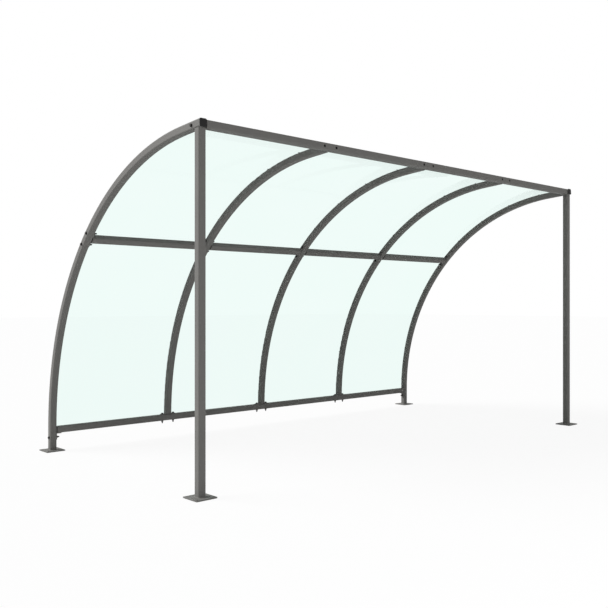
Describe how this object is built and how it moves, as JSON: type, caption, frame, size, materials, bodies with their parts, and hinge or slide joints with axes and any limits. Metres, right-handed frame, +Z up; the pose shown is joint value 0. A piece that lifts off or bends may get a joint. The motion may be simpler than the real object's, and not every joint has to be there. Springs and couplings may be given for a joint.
{
  "type": "bike shelter",
  "caption": "Open-fronted bike shelter: curved square-tube ribs on bolted base plates, joined by rails and roofed by clear curved sheets.",
  "frame": {"origin": "on the floor, in the middle of the footprint of the four base plates", "axes": "+X to the right along the shelter seen from its open front, +Y to the back, where the ribs stand, +Z up"},
  "size_m": [4.14, 2.136, 2.1719],
  "materials": {
    "grey_powder_coat": "satin powder coat",
    "clear_sheet": "clear, gloss",
    "black_plastic": "moulded",
    "black_fixings": "black zinc plate"
  },
  "bodies": {
    "root": {"bottom_rail": "grey_powder_coat", "centre_rib": "grey_powder_coat", "centre_rib_foot_plate": "grey_powder_coat", "centre_rib_head_plate": "grey_powder_coat", "clear_sheet_bay_1": "clear_sheet", "clear_sheet_bay_2": "clear_sheet", "clear_sheet_bay_3": "clear_sheet", "clear_sheet_bay_4": "clear_sheet", "front_beam": "grey_powder_coat", "left_beam_end_plate": "grey_powder_coat", "left_end_cap": "black_plastic", "left_end_rib": "grey_powder_coat", "left_front_base_plate": "grey_powder_coat", "left_front_post": "grey_powder_coat", "left_inner_rib": "grey_powder_coat", "left_inner_rib_foot_plate": "grey_powder_coat", "left_inner_rib_head_plate": "grey_powder_coat", "left_rail_bracket": "grey_powder_coat", "left_rear_base_plate": "grey_powder_coat", "mid_rail_bay_1": "grey_powder_coat", "mid_rail_bay_1_left_plate": "grey_powder_coat", "mid_rail_bay_1_right_plate": "grey_powder_coat", "mid_rail_bay_2": "grey_powder_coat", "mid_rail_bay_2_left_plate": "grey_powder_coat", "mid_rail_bay_2_right_plate": "grey_powder_coat", "mid_rail_bay_3": "grey_powder_coat", "mid_rail_bay_3_left_plate": "grey_powder_coat", "mid_rail_bay_3_right_plate": "grey_powder_coat", "mid_rail_bay_4": "grey_powder_coat", "mid_rail_bay_4_left_plate": "grey_powder_coat", "mid_rail_bay_4_right_plate": "grey_powder_coat", "right_beam_end_plate": "grey_powder_coat", "right_end_cap": "black_plastic", "right_end_rib": "grey_powder_coat", "right_front_base_plate": "grey_powder_coat", "right_front_post": "grey_powder_coat", "right_inner_rib": "grey_powder_coat", "right_inner_rib_foot_plate": "grey_powder_coat", "right_inner_rib_head_plate": "grey_powder_coat", "right_rail_bracket": "grey_powder_coat", "right_rear_base_plate": "grey_powder_coat"}
  },
  "joints": []
}
